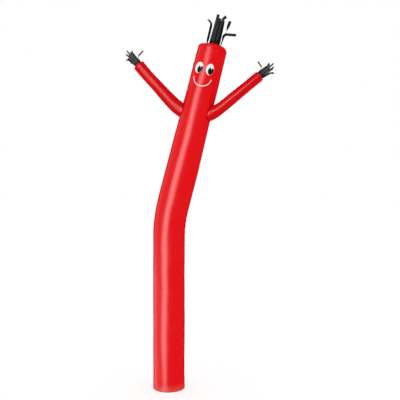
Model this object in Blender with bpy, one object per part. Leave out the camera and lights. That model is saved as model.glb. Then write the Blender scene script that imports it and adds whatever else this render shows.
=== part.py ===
# Inflatable air dancer: a tall, leaning tube of thin red cloth that a blower fills from below.
# A round crown panel closes the head, two raised arms are sewn over holes in the tube, the face
# is sewn on, and black strips stand in the open vents of the head and the hands.
# Metres, +Z up. The face looks to -Y, the figure leans and waves in the XZ plane, and left and
# right are those of somebody who stands in front of it.

import math

import bmesh
import bpy
from mathutils import Vector

# The body's middle line: straight up, then a soft bend, then straight again to the head's top
STRAIGHT_LENGTH = 2.17
BEND_RADIUS = 1.95
LEAN = math.radians(14.5)
BODY_LENGTH = 5.0
FRAME_SHIFT = Vector((-0.445, 0.0, 0.0))     # puts the origin under the middle of the whole box

# The body tube is sized for a 457 mm (18 in) blower outlet. Its wall is heaviest at the foot.
BODY_SECTIONS = (
    # along the middle line, radius, wall
    (0.00, 0.2285, 0.0030),
    (1.30, 0.2292, 0.0030),
    (2.20, 0.2322, 0.0022),
    (2.90, 0.2352, 0.0013),
    (3.60, 0.2300, 0.0012),
    (4.30, 0.2184, 0.0012),
    (5.00, 0.2105, 0.0012),
)
BODY_SIDES = 40
STRAIGHT_STEP = 0.27
BEND_STEP = 0.08
HEM_HEIGHT = 0.045                           # the foot's turned-in hem
HEM_STEP = 0.0005
HEM_EXTRA = 0.0008

# The crown panel: a short skirt, a rounded edge, then a low cone up to the vent
CROWN_SKIRT = 0.005
CROWN_EDGE_RADIUS = 0.035
CROWN_EDGE_STEPS = 4
CROWN_RISE = 0.026
CROWN_WALL = 0.0012
HEAD_VENT_RADIUS = 0.108

# The arms leave the body a little forward of its sides
SHOULDER_FORWARD = 0.03
ARM_SIDES = 20
ARM_WALL = 0.0012
ARM_STEP = 0.09
ARM_BORE_END = 0.12                          # how far the armhole's cutter reaches outside
HAND_EDGE_RADIUS = 0.016
HAND_EDGE_STEPS = 3
HAND_RISE = 0.003
HAND_VENT_RADIUS = 0.056
LEFT_SHOULDER = 4.03                         # distance along the body's middle line
LEFT_ARM = (
    # along, radius, rise in degrees, sweep to the back in degrees
    (-0.13, 0.1027, 35.3, 0.0),
    (0.00, 0.1027, 35.3, 0.0),
    (0.16, 0.0977, 44.3, -1.0),
    (0.32, 0.0912, 48.3, -2.0),
    (0.60, 0.0840, 47.1, -3.0),
    (0.925, 0.0862, 52.4, -4.0),
)
RIGHT_SHOULDER = 4.08
RIGHT_ARM = (
    # along, radius, rise in degrees, sweep to the back in degrees
    (-0.13, 0.0978, 22.2, 0.0),
    (0.00, 0.0978, 22.2, 0.0),
    (0.16, 0.0829, 35.6, 2.0),
    (0.32, 0.0800, 39.3, 5.0),
    (0.60, 0.0760, 39.4, 9.0),
    (0.87, 0.0773, 39.8, 12.0),
)

# Each fringe strip rises from a narrow band inside its vent. Around is measured from the vent's
# side axis towards its back. A lean is the tilt out from the vent's axis: at the root, along the
# run, and past the bend, which sits at a share of the length.
HEAD_STRIP_WIDTH = 0.038
HEAD_STRIPS = (
    # around, length, root lean, run lean, tip lean, bend at, twist, with angles in degrees
    (0.0, 0.335, 1.0, 3.0, 82.0, 0.57, 25.0),
    (28.0, 0.430, 4.0, 8.0, 12.0, 0.60, 80.0),
    (56.0, 0.390, -14.0, -3.0, 2.0, 0.80, 10.0),
    (84.0, 0.400, -10.0, -2.0, 0.0, 0.80, -12.0),
    (112.0, 0.370, -12.0, -2.0, 4.0, 0.80, 8.0),
    (140.0, 0.390, -48.0, -2.5, -2.0, 0.80, -10.0),
    (180.0, 0.385, -3.0, -1.0, 64.0, 0.78, 50.0),
    (220.0, 0.400, -48.0, -3.0, -1.0, 0.80, 10.0),
    (248.0, 0.435, -12.0, 1.0, 0.0, 0.80, -8.0),
    (276.0, 0.380, -12.0, -3.0, -4.0, 0.80, 12.0),
    (304.0, 0.435, -14.0, -2.0, 36.0, 0.86, -10.0),
    (332.0, 0.400, -26.0, -3.0, 3.0, 0.80, 10.0),
)
HAND_STRIP_WIDTH = 0.020
HAND_STRIPS = (
    # around, length, root lean, run lean, tip lean, bend at, twist, with angles in degrees
    (0.0, 0.200, 0.0, 11.0, 84.0, 0.48, 80.0),
    (30.0, 0.205, -2.0, 3.0, 12.0, 0.78, 10.0),
    (60.0, 0.230, -3.0, 2.0, 6.0, 0.80, -8.0),
    (90.0, 0.215, -5.0, -1.0, -3.0, 0.80, 8.0),
    (120.0, 0.235, -5.0, -2.0, 4.0, 0.82, -10.0),
    (150.0, 0.210, -6.0, -3.0, 16.0, 0.78, 15.0),
    (180.0, 0.200, -6.0, -4.0, 34.0, 0.72, 40.0),
    (210.0, 0.120, -4.0, 2.0, 48.0, 0.62, 20.0),
    (240.0, 0.215, -6.0, -3.0, -2.0, 0.80, -8.0),
    (270.0, 0.240, -5.0, -1.0, 8.0, 0.84, 10.0),
    (300.0, 0.225, -3.0, 2.0, 20.0, 0.82, -15.0),
    (330.0, 0.210, -2.0, 3.0, 6.0, 0.78, 8.0),
)
STRIP_THICKNESS = 0.001
STRIP_STEPS = 8
ROOT_SHARE = 0.22                            # share of the length until the run lean holds
BEND_SHARE = 0.24                            # share of the length that the bend takes
BAND_DEPTH = 0.030
BAND_ABOVE_VENT = 0.004
BAND_CLEARANCE = 0.001

# The face lies on the head's skin. Across is along the skin from the middle of the front, and
# below is the distance down from the head's top.
EYE_HEIGHT = 0.166
EYES = (
    # side, across, below, width, the pupil's shift across, its shift down, its width
    ("left", -0.0855, 0.350, 0.132, 0.0245, 0.028, 0.094),
    ("right", 0.0810, 0.346, 0.120, 0.0185, 0.027, 0.088),
)
PUPIL_HEIGHT = 0.104
PUPIL_MARGIN = 0.002                         # the pupil stays this far inside the eye's edge
NOTCH_TURN = math.radians(72)                # up and a little to the right
NOTCH_HALF_TURN = math.radians(20)
NOTCH_FLOOR = 0.30                           # share of the pupil's radius left under the notch
SMILE_BELOW = 0.461
SMILE_RADIUS = 0.139
SMILE_HALF_TURN = math.radians(80)
SMILE_STEPS = 24
SMILE_WIDTH = 0.016
SMILE_END_WIDTH = 0.009
TICK_LENGTH = 0.030                          # the short bar across each end of the smile
TICK_WIDTH = 0.008
PATCH_THICKNESS = 0.001
PATCH_LIFT = 0.001                           # over the skin, clear of the tube's flat facets
PUPIL_LIFT = 0.0028
PATCH_SIDES = 36
PATCH_RINGS = (1.0, 0.68, 0.34)

GAP = 0.0003                                 # between pieces that meet
SHARP_ANGLE = math.radians(40)

RED_CLOTH = (0.760, 0.0018, 0.0060)
BLACK_CLOTH = (0.012, 0.012, 0.013)
WHITE_CLOTH = (0.86, 0.86, 0.85)
CLOTH_ROUGHNESS = 0.42


def clear_scene():
    for item in list(bpy.data.objects):
        bpy.data.objects.remove(item, do_unlink=True)


def make_cloth(name, colour):
    material = bpy.data.materials.new(name)
    material.use_nodes = True
    shader = material.node_tree.nodes["Principled BSDF"]
    shader.inputs["Base Color"].default_value = (*colour, 1.0)
    shader.inputs["Roughness"].default_value = CLOTH_ROUGHNESS
    shader.inputs["Metallic"].default_value = 0.0
    material.diffuse_color = (*colour, 1.0)
    return material


def make_object(name, mesh_builder, material):
    bmesh.ops.recalc_face_normals(mesh_builder, faces=mesh_builder.faces)
    mesh = bpy.data.meshes.new(name)
    mesh_builder.to_mesh(mesh)
    mesh_builder.free()
    mesh.shade_smooth()
    mesh.set_sharp_from_angle(angle=SHARP_ANGLE)
    piece = bpy.data.objects.new(name, mesh)
    bpy.context.scene.collection.objects.link(piece)
    if material:
        mesh.materials.append(material)
    return piece


def hide_cutter(piece):
    piece.hide_render = True
    piece.display_type = "WIRE"


def cut(piece, cutter):
    boolean = piece.modifiers.new("cut by " + cutter.name, "BOOLEAN")
    boolean.operation = "DIFFERENCE"
    boolean.solver = "EXACT"
    boolean.object = cutter


# Reading the tables

def smooth_share(share):
    share = min(max(share, 0.0), 1.0)
    return share * share * (3.0 - 2.0 * share)


def blend(low, high, share):
    return low + (high - low) * share


def read_table(rows, along, column):
    # A smooth curve through the rows' values in one column
    index = 0
    while index < len(rows) - 2 and along > rows[index + 1][0]:
        index += 1
    first, second = rows[index], rows[index + 1]
    before, after = rows[max(index - 1, 0)], rows[min(index + 2, len(rows) - 1)]
    span = second[0] - first[0]
    first_slope = (second[column] - before[column]) / (second[0] - before[0]) * span
    second_slope = (after[column] - first[column]) / (after[0] - first[0]) * span
    share = min(max((along - first[0]) / span, 0.0), 1.0)
    square, cube = share ** 2, share ** 3
    return (
        (2 * cube - 3 * square + 1) * first[column]
        + (cube - 2 * square + share) * first_slope
        + (3 * square - 2 * cube) * second[column]
        + (cube - square) * second_slope
    )


def spread(low, high, step):
    # Evenly spaced values from low to high, both included
    count = max(round((high - low) / step), 1)
    return [blend(low, high, index / count) for index in range(count + 1)]


# Spines: each gives the centre, the tangent, the side axis and the back axis at a distance along

def body_spine(along):
    turn = min(max(along - STRAIGHT_LENGTH, 0.0) / BEND_RADIUS, LEAN)
    beyond = max(along - STRAIGHT_LENGTH - BEND_RADIUS * LEAN, 0.0)
    reach = BEND_RADIUS * (1.0 - math.cos(turn)) + beyond * math.sin(turn)
    rise = min(along, STRAIGHT_LENGTH) + BEND_RADIUS * math.sin(turn) + beyond * math.cos(turn)
    centre = Vector((reach, 0.0, rise)) + FRAME_SHIFT
    tangent = Vector((math.sin(turn), 0.0, math.cos(turn)))
    side = Vector((math.cos(turn), 0.0, -math.sin(turn)))
    return centre, tangent, side, Vector((0.0, 1.0, 0.0))


def arm_spine(shoulder_along, rows, way):
    # Way is -1 for the left arm and 1 for the right one
    step = 0.01

    def direction(along):
        rise = math.radians(read_table(rows, along, 2))
        sweep = math.radians(read_table(rows, along, 3))
        level = math.cos(rise)
        return Vector((way * level * math.cos(sweep), level * math.sin(sweep), math.sin(rise)))

    centre, _, side, back = body_spine(shoulder_along)
    radius = read_table(BODY_SECTIONS, shoulder_along, 1)
    reach = math.sqrt(radius ** 2 - SHOULDER_FORWARD ** 2)
    shoulder = centre + side * (way * reach) - back * SHOULDER_FORWARD

    def spine(along):
        count = max(round(abs(along) / step), 1)
        point = shoulder.copy()
        for index in range(count):
            point += direction((index + 0.5) / count * along) * (along / count)
        tangent = direction(along)
        arm_back = (back - tangent * back.dot(tangent)).normalized()
        return point, tangent, arm_back.cross(tangent), arm_back

    return spine


def around_spine(frame, turn):
    # The direction out of a tube's middle: 0 is its front, and a quarter turn is its side
    _, _, side, back = frame
    return side * math.sin(turn) - back * math.cos(turn)


# Tubes of cloth

def add_ring(mesh_builder, spine, along, radius, sides):
    frame = spine(along)
    turns = [2.0 * math.pi * index / sides for index in range(sides)]
    return [
        mesh_builder.verts.new(frame[0] + around_spine(frame, turn) * radius) for turn in turns
    ]


def bridge(mesh_builder, low, high):
    for index in range(len(low)):
        after = (index + 1) % len(low)
        mesh_builder.faces.new((low[index], low[after], high[after], high[index]))


def inner_outline(outline):
    # The outline moved in by its own wall, square to its run
    moved = []
    for index, (along, radius, wall) in enumerate(outline):
        before, after = outline[max(index - 1, 0)], outline[min(index + 1, len(outline) - 1)]
        run, climb = after[0] - before[0], after[1] - before[1]
        length = math.hypot(run, climb)
        moved.append((along + wall * climb / length, radius - wall * run / length))
    return moved


def make_tube(name, spine, outline, sides, material):
    builder = bmesh.new()
    outer = [add_ring(builder, spine, row[0], row[1], sides) for row in outline]
    inner = [add_ring(builder, spine, row[0], row[1], sides) for row in inner_outline(outline)]
    for low, high in zip(outer, outer[1:]):
        bridge(builder, low, high)
    for low, high in zip(inner, inner[1:]):
        bridge(builder, high, low)
    bridge(builder, inner[0], outer[0])
    bridge(builder, outer[-1], inner[-1])
    return make_object(name, builder, material)


def make_plug(name, spine, outline, sides):
    # A closed solid that fills a tube, for cutting
    builder = bmesh.new()
    rings = [add_ring(builder, spine, row[0], row[1], sides) for row in outline]
    for low, high in zip(rings, rings[1:]):
        bridge(builder, low, high)
    builder.faces.new(rings[0])
    builder.faces.new(rings[-1])
    plug = make_object(name, builder, None)
    hide_cutter(plug)
    return plug


def rounded_end(along, radius, edge_radius, edge_steps, vent_radius, rise, wall):
    # A tube's drawn-in end: a rounded edge, then a low cone to the vent
    rows = []
    for index in range(1, edge_steps + 1):
        turn = index / edge_steps * math.pi / 2
        edge_along = along - edge_radius * (1.0 - math.sin(turn))
        rows.append((edge_along, radius - edge_radius * (1.0 - math.cos(turn)), wall))
    rows.append((along + rise, vent_radius, wall))
    return rows


def body_outline():
    top = BODY_LENGTH - CROWN_EDGE_RADIUS - CROWN_SKIRT - GAP
    bend_end = STRAIGHT_LENGTH + BEND_RADIUS * LEAN
    distances = spread(HEM_HEIGHT + HEM_STEP, STRAIGHT_LENGTH, STRAIGHT_STEP)
    distances += spread(STRAIGHT_LENGTH, bend_end, BEND_STEP)[1:]
    distances += spread(bend_end, top, STRAIGHT_STEP)[1:]
    foot_radius, foot_wall = BODY_SECTIONS[0][1:]
    outline = [(along, foot_radius, foot_wall + HEM_EXTRA) for along in (0.0, HEM_HEIGHT)]
    for along in distances:
        radius = read_table(BODY_SECTIONS, along, 1)
        outline.append((along, radius, read_table(BODY_SECTIONS, along, 2)))
    return outline


def make_body(material):
    return make_tube("body_tube", body_spine, body_outline(), BODY_SIDES, material)


def make_crown(material):
    skirt = BODY_LENGTH - CROWN_EDGE_RADIUS - CROWN_SKIRT
    radius = read_table(BODY_SECTIONS, skirt, 1)
    outline = [(skirt, radius, CROWN_WALL), (skirt + CROWN_SKIRT, radius, CROWN_WALL)]
    outline += rounded_end(
        BODY_LENGTH, radius, CROWN_EDGE_RADIUS, CROWN_EDGE_STEPS,
        HEAD_VENT_RADIUS, CROWN_RISE, CROWN_WALL,
    )
    return make_tube("crown_panel", body_spine, outline, BODY_SIDES, material)


def arm_length(rows):
    return rows[-1][0]


def make_arm(name, spine, rows, body_plug, material):
    hand = arm_length(rows) - HAND_EDGE_RADIUS
    outline = [
        (along, read_table(rows, along, 1), ARM_WALL) for along in spread(rows[0][0], hand, ARM_STEP)
    ]
    outline += rounded_end(
        arm_length(rows), read_table(rows, hand, 1), HAND_EDGE_RADIUS, HAND_EDGE_STEPS,
        HAND_VENT_RADIUS, HAND_RISE, ARM_WALL,
    )
    arm = make_tube(name, spine, outline, ARM_SIDES, material)
    cut(arm, body_plug)
    return arm


def cut_armhole(body, name, spine, rows):
    distances = spread(rows[0][0], ARM_BORE_END, ARM_STEP)
    outline = [(along, read_table(rows, along, 1) - ARM_WALL) for along in distances]
    cut(body, make_plug(name, spine, outline, ARM_SIDES))


# Fringes

def strip_lean(share, strip):
    _, _, root, run, tip, bend_at, _ = strip
    lean = blend(root, run, smooth_share(share / ROOT_SHARE))
    bent = smooth_share((share - bend_at) / BEND_SHARE + 0.5)
    return math.radians(blend(lean, tip, bent))


def strip_corners(point, tangent_axes, lean, twist, width):
    # A strip's four corners, inner ones first, where it leans out and is turned about its run
    axis, outward, along_band = tangent_axes
    across = along_band * math.cos(twist)
    facing = outward * math.cos(lean) - axis * math.sin(lean)
    across += facing * math.sin(twist)
    facing = facing * math.cos(twist) - along_band * math.sin(twist)
    half, thick = across * (width / 2), facing * (STRIP_THICKNESS / 2)
    return (
        point - half - thick,
        point + half - thick,
        point + half + thick,
        point - half + thick,
    )


def add_strip(builder, root, frame, turn, strip, width):
    # Root holds the four corners on the band, in the order of strip_corners
    outward = around_spine(frame, turn)
    along_band = around_spine(frame, turn + math.pi / 2)
    axis = frame[1]
    point = sum((corner.co for corner in root), Vector()) / len(root)
    step = strip[1] / STRIP_STEPS
    last = root
    for index in range(1, STRIP_STEPS + 1):
        middle_lean = strip_lean((index - 0.5) / STRIP_STEPS, strip)
        point = point + (axis * math.cos(middle_lean) + outward * math.sin(middle_lean)) * step
        share = index / STRIP_STEPS
        twist = math.radians(strip[6]) * smooth_share(share / (strip[5] + BEND_SHARE / 2))
        corners = strip_corners(
            point, (axis, outward, along_band), strip_lean(share, strip), twist, width
        )
        section = [builder.verts.new(corner) for corner in corners]
        bridge(builder, last, section)
        last = section
    builder.faces.new(last)


def make_fringe(name, spine, vent_along, vent_radius, vent_sides, strips, width, mirrored, material):
    builder = bmesh.new()
    frame = spine(vent_along)
    outer_radius = vent_radius * math.cos(math.pi / vent_sides) - BAND_CLEARANCE
    half_turn = width / 2 / outer_radius
    turns = sorted(
        (math.radians(270.0 - strip[0] if mirrored else strip[0] + 90.0) % (2 * math.pi), strip)
        for strip in strips
    )
    levels = {}
    for level in (-BAND_DEPTH, BAND_ABOVE_VENT):
        for radius in (outer_radius - STRIP_THICKNESS, outer_radius):
            ring = []
            for turn, _ in turns:
                for edge in (turn - half_turn, turn + half_turn):
                    offset = frame[1] * level + around_spine(frame, edge) * radius
                    ring.append(builder.verts.new(frame[0] + offset))
            levels[level, radius == outer_radius] = ring
    low_in, low_out = levels[-BAND_DEPTH, False], levels[-BAND_DEPTH, True]
    top_in, top_out = levels[BAND_ABOVE_VENT, False], levels[BAND_ABOVE_VENT, True]
    bridge(builder, low_out, top_out)
    bridge(builder, top_in, low_in)
    bridge(builder, low_in, low_out)
    for index, (turn, strip) in enumerate(turns):
        left, right = 2 * index, 2 * index + 1
        after = (right + 1) % len(top_in)
        root = [top_in[left], top_in[right], top_out[right], top_out[left]]
        add_strip(builder, root, frame, turn, strip, width)
        builder.faces.new((top_in[right], top_in[after], top_out[after], top_out[right]))
    return make_object(name, builder, material)


# The face

def skin_point(across, below, lift):
    along = BODY_LENGTH - below
    radius = read_table(BODY_SECTIONS, along, 1)
    frame = body_spine(along)
    return frame[0] + around_spine(frame, across / radius) * (radius + lift)


def ellipse_reach(turn, width, height):
    return 1.0 / math.hypot(math.cos(turn) / (width / 2), math.sin(turn) / (height / 2))


def pupil_reach(turn, shift_across, shift_down, width, eye_width):
    # The pupil's own round outline with its notch, kept inside the eye's edge
    reach = ellipse_reach(turn, width, PUPIL_HEIGHT)
    off_notch = abs((turn - NOTCH_TURN + math.pi) % (2 * math.pi) - math.pi)
    if off_notch < NOTCH_HALF_TURN:
        reach *= blend(NOTCH_FLOOR, 1.0, off_notch / NOTCH_HALF_TURN)
    eye_half_width = eye_width / 2 - PUPIL_MARGIN
    eye_half_height = EYE_HEIGHT / 2 - PUPIL_MARGIN
    start_x, start_y = shift_across / eye_half_width, -shift_down / eye_half_height
    step_x, step_y = math.cos(turn) / eye_half_width, math.sin(turn) / eye_half_height
    square = step_x ** 2 + step_y ** 2
    half_linear = start_x * step_x + start_y * step_y
    rest = start_x ** 2 + start_y ** 2 - 1.0
    to_edge = (-half_linear + math.sqrt(half_linear ** 2 - square * rest)) / square
    return min(reach, to_edge)


def make_patch(name, across, below, reach, lift, material):
    # A thin curved sheet whose outline stands at reach(turn) from its middle
    builder = bmesh.new()
    layers = []
    for height in (lift, lift + PATCH_THICKNESS):
        rings = []
        for scale in PATCH_RINGS:
            ring = []
            for index in range(PATCH_SIDES):
                turn = 2.0 * math.pi * index / PATCH_SIDES
                distance = reach(turn) * scale
                point_across = across + distance * math.cos(turn)
                point_below = below - distance * math.sin(turn)
                ring.append(builder.verts.new(skin_point(point_across, point_below, height)))
            rings.append(ring)
        middle = builder.verts.new(skin_point(across, below, height))
        for outer, inner in zip(rings, rings[1:]):
            bridge(builder, outer, inner)
        for index in range(PATCH_SIDES):
            after = (index + 1) % PATCH_SIDES
            builder.faces.new((rings[-1][index], rings[-1][after], middle))
        layers.append(rings[0])
    bridge(builder, layers[0], layers[1])
    return make_object(name, builder, material)


def make_eye(eye, white, black):
    side, across, below, width, shift_across, shift_down, pupil_width = eye
    make_patch(
        side + "_eye", across, below,
        lambda turn: ellipse_reach(turn, width, EYE_HEIGHT), PATCH_LIFT, white,
    )
    make_patch(
        side + "_pupil", across + shift_across, below + shift_down,
        lambda turn: pupil_reach(turn, shift_across, shift_down, pupil_width, width),
        PUPIL_LIFT, black,
    )


def smile_sections():
    # Turn from the smile's lowest point, and the strip's width there
    rows = []
    for index in range(SMILE_STEPS + 1):
        share = 2.0 * index / SMILE_STEPS - 1.0
        width = blend(SMILE_WIDTH, SMILE_END_WIDTH, share ** 2)
        rows.append((share * SMILE_HALF_TURN, width))
    tick = TICK_WIDTH / SMILE_RADIUS
    bar_end = SMILE_HALF_TURN + tick
    bar_start = SMILE_HALF_TURN + tick / 8
    bar = [(bar_start, TICK_LENGTH), (bar_end, TICK_LENGTH * 0.8)]
    return [(-turn, width) for turn, width in reversed(bar)] + rows + bar


def make_smile(material):
    builder = bmesh.new()
    sections = []
    for turn, width in smile_sections():
        corners = []
        for lift, sides in ((PATCH_LIFT, (-1, 1)), (PATCH_LIFT + PATCH_THICKNESS, (1, -1))):
            for side in sides:
                distance = SMILE_RADIUS + side * width / 2
                across = distance * math.sin(turn)
                below = SMILE_BELOW + distance * math.cos(turn)
                corners.append(builder.verts.new(skin_point(across, below, lift)))
        sections.append(corners)
    for low, high in zip(sections, sections[1:]):
        bridge(builder, low, high)
    builder.faces.new(sections[0])
    builder.faces.new(sections[-1])
    return make_object("smile", builder, material)


def main():
    clear_scene()
    red = make_cloth("red cloth", RED_CLOTH)
    black = make_cloth("black cloth", BLACK_CLOTH)
    white = make_cloth("white cloth", WHITE_CLOTH)

    body = make_body(red)
    make_crown(red)
    body_plug = make_plug(
        "body plug", body_spine,
        [(along, radius + GAP) for along, radius, _ in body_outline()], BODY_SIDES,
    )
    make_fringe(
        "head_fringe", body_spine, BODY_LENGTH + CROWN_RISE, HEAD_VENT_RADIUS, BODY_SIDES,
        HEAD_STRIPS, HEAD_STRIP_WIDTH, False, black,
    )
    arms = (("left", -1, LEFT_SHOULDER, LEFT_ARM), ("right", 1, RIGHT_SHOULDER, RIGHT_ARM))
    for side, way, shoulder_along, rows in arms:
        spine = arm_spine(shoulder_along, rows, way)
        cut_armhole(body, side + " armhole", spine, rows)
        make_arm(side + "_arm", spine, rows, body_plug, red)
        make_fringe(
            side + "_hand_fringe", spine, arm_length(rows) + HAND_RISE, HAND_VENT_RADIUS,
            ARM_SIDES, HAND_STRIPS, HAND_STRIP_WIDTH, way > 0, black,
        )

    for eye in EYES:
        make_eye(eye, white, black)
    make_smile(white)


main()
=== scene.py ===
import math

import bmesh
import bpy
import numpy as np
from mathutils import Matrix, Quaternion, Vector


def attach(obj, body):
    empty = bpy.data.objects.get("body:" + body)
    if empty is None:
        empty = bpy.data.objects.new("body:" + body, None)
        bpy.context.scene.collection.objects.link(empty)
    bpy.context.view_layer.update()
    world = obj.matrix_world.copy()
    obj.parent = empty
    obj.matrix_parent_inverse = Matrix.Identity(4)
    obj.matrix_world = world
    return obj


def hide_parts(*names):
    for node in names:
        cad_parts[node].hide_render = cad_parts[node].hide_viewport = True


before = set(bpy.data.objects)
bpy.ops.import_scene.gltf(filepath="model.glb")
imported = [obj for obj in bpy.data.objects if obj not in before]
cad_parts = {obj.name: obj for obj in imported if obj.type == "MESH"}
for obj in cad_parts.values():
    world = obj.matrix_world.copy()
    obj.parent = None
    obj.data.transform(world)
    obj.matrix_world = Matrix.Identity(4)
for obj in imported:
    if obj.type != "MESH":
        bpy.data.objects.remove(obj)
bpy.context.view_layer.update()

# Tall inflatable tube figure: a leaning tube of red nylon with raised arms, a sewn-on face and
# black ribbons in its open ends. Metres, +Z up, the face looks to -Y. Left and right are the
# viewer's.

print("stage: camera")

photoView = {
    "foot": (-0.445, 0.0, 0.0),
    "turn": 10.0,           # degrees round to the figure's right side
    "distance": 7.79,
    "aside": 0.4528,
    "height": 2.731,
    "lens": 48.0,
}


def placeCamera():
    turn = math.radians(photoView["turn"])
    ahead = Vector((-math.sin(turn), math.cos(turn), 0.0))
    right = Vector((math.cos(turn), math.sin(turn), 0.0))
    lens = bpy.data.cameras.new("photoCamera")
    lens.lens = photoView["lens"]
    lens.sensor_width = 36.0
    lens.clip_end = 200.0
    camera = bpy.data.objects.new("photoCamera", lens)
    camera.location = (
        Vector(photoView["foot"]) - ahead * photoView["distance"] + right * photoView["aside"]
        + Vector((0.0, 0.0, photoView["height"]))
    )
    camera.rotation_euler = ahead.to_track_quat("-Z", "Y").to_euler()
    bpy.context.scene.collection.objects.link(camera)
    bpy.context.scene.camera = camera


placeCamera()


def readTable(rows, along, column):
    # A smooth curve through the rows' values in one column
    index = 0
    while index < len(rows) - 2 and along > rows[index + 1][0]:
        index += 1
    first, second = rows[index], rows[index + 1]
    before, after = rows[max(index - 1, 0)], rows[min(index + 2, len(rows) - 1)]
    span = second[0] - first[0]
    firstSlope = (second[column] - before[column]) / (second[0] - before[0]) * span
    secondSlope = (after[column] - first[column]) / (after[0] - first[0]) * span
    share = min(max((along - first[0]) / span, 0.0), 1.0)
    square, cube = share ** 2, share ** 3
    return (
        (2 * cube - 3 * square + 1) * first[column]
        + (cube - 2 * square + share) * firstSlope
        + (3 * square - 2 * cube) * second[column]
        + (cube - square) * secondSlope
    )


def readAll(rows, alongs, column):
    dense = np.linspace(rows[0][0], rows[-1][0], 1200)
    values = [readTable(rows, along, column) for along in dense]
    return np.interp(alongs, dense, values)


def blend(low, high, share):
    return low + (high - low) * share


def smoothShare(share):
    share = np.clip(share, 0.0, 1.0)
    return share * share * (3.0 - 2.0 * share)


def fullTurn(count, start=0.0):
    return start + 2 * math.pi * np.arange(count) / count


def unit(vectors):
    return vectors / np.linalg.norm(vectors, axis=-1, keepdims=True)


bodyLineShape = {"straight": 2.17, "bendRadius": 1.95, "lean": 14.5, "length": 5.0}
bodySections = [
    # along the middle line, radius
    (0.00, 0.2285), (1.30, 0.2292), (2.20, 0.2322), (2.90, 0.2352), (3.60, 0.2300),
    (4.30, 0.2184), (5.00, 0.2105),
]


def bodyLine(along):
    # Centre, tangent, side and back of the body's middle line
    along = np.asarray(along, float)
    lean, bendRadius = math.radians(bodyLineShape["lean"]), bodyLineShape["bendRadius"]
    turn = np.clip((along - bodyLineShape["straight"]) / bendRadius, 0.0, lean)
    beyond = np.maximum(along - bodyLineShape["straight"] - bendRadius * lean, 0.0)
    reach = bendRadius * (1.0 - np.cos(turn)) + beyond * np.sin(turn)
    rise = np.minimum(along, bodyLineShape["straight"]) + bendRadius * np.sin(turn)
    rise = rise + beyond * np.cos(turn)
    level = np.zeros_like(reach)
    centre = np.stack([reach + photoView["foot"][0], level, rise], -1)
    tangent = np.stack([np.sin(turn), level, np.cos(turn)], -1)
    side = np.stack([np.cos(turn), level, -np.sin(turn)], -1)
    back = np.stack([level, level + 1.0, level], -1)
    return centre, tangent, side, back


def aroundLine(line, turn):
    # The direction out of a tube: 0 is its front, a quarter turn is its side, half is its back
    turn = np.asarray(turn, float)[..., None]
    return line[2] * np.sin(turn) - line[3] * np.cos(turn)


# Trees that grow cloth, ribbons and stitches along a path

def newTree(name, inputs):
    tree = bpy.data.node_groups.new(name, "GeometryNodeTree")
    tree.interface.new_socket("Geometry", in_out="INPUT", socket_type="NodeSocketGeometry")
    for label, kind in inputs:
        tree.interface.new_socket(label, in_out="INPUT", socket_type=kind)
    tree.interface.new_socket("Geometry", in_out="OUTPUT", socket_type="NodeSocketGeometry")
    return tree


def addNode(tree, kind, links=(), **settings):
    node = tree.nodes.new(kind)
    for name, value in settings.items():
        setattr(node, name, value)
    for socket, source in links:
        if hasattr(source, "links"):
            tree.links.new(source, node.inputs[socket])
        else:
            node.inputs[socket].default_value = source
    return node


def addMath(tree, operation, *values):
    links = list(enumerate(values))
    return addNode(tree, "ShaderNodeMath", links, operation=operation).outputs[0]


def scaleVector(tree, vector, factor):
    links = [(0, vector), ("Scale", factor)]
    return addNode(tree, "ShaderNodeVectorMath", links, operation="SCALE").outputs[0]


def facedCurve(tree, start):
    # The path as a curve whose normal is its own facing
    curve = addNode(tree, "GeometryNodeMeshToCurve", [("Mesh", start.outputs["Geometry"])])
    facing = addNode(tree, "GeometryNodeInputNamedAttribute", [("Name", "facing")],
                     data_type="FLOAT_VECTOR")
    return addNode(tree, "GeometryNodeSetCurveNormal", [
        ("Curve", curve.outputs["Curve"]), ("Normal", facing.outputs["Attribute"]),
    ], mode="FREE")


def closeTree(tree, start, mesh):
    smooth = addNode(tree, "GeometryNodeSetShadeSmooth", [("Geometry", mesh)])
    real = addNode(tree, "GeometryNodeRealizeInstances", [("Geometry", smooth.outputs[0])])
    painted = addNode(tree, "GeometryNodeSetMaterial", [
        ("Geometry", real.outputs[0]), ("Material", start.outputs["Material"]),
    ])
    addNode(tree, "NodeGroupOutput", [("Geometry", painted.outputs[0])])


def buildTubeTree():
    # A round tube along a path, as wide at each point as the path's own reach
    tree = newTree("clothTube", [
        ("Sides", "NodeSocketInt"), ("Material", "NodeSocketMaterial"),
    ])
    start = addNode(tree, "NodeGroupInput")
    curve = facedCurve(tree, start)
    reach = addNode(tree, "GeometryNodeInputNamedAttribute", [("Name", "reach")])
    ring = addNode(tree, "GeometryNodeCurvePrimitiveCircle", [
        ("Resolution", start.outputs["Sides"]), ("Radius", 1.0),
    ])
    tube = addNode(tree, "GeometryNodeCurveToMesh", [
        ("Curve", curve.outputs["Curve"]), ("Profile Curve", ring.outputs["Curve"]),
        ("Scale", reach.outputs["Attribute"]), ("Fill Caps", False),
    ])
    closeTree(tree, start, tube.outputs["Mesh"])
    return tree


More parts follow.
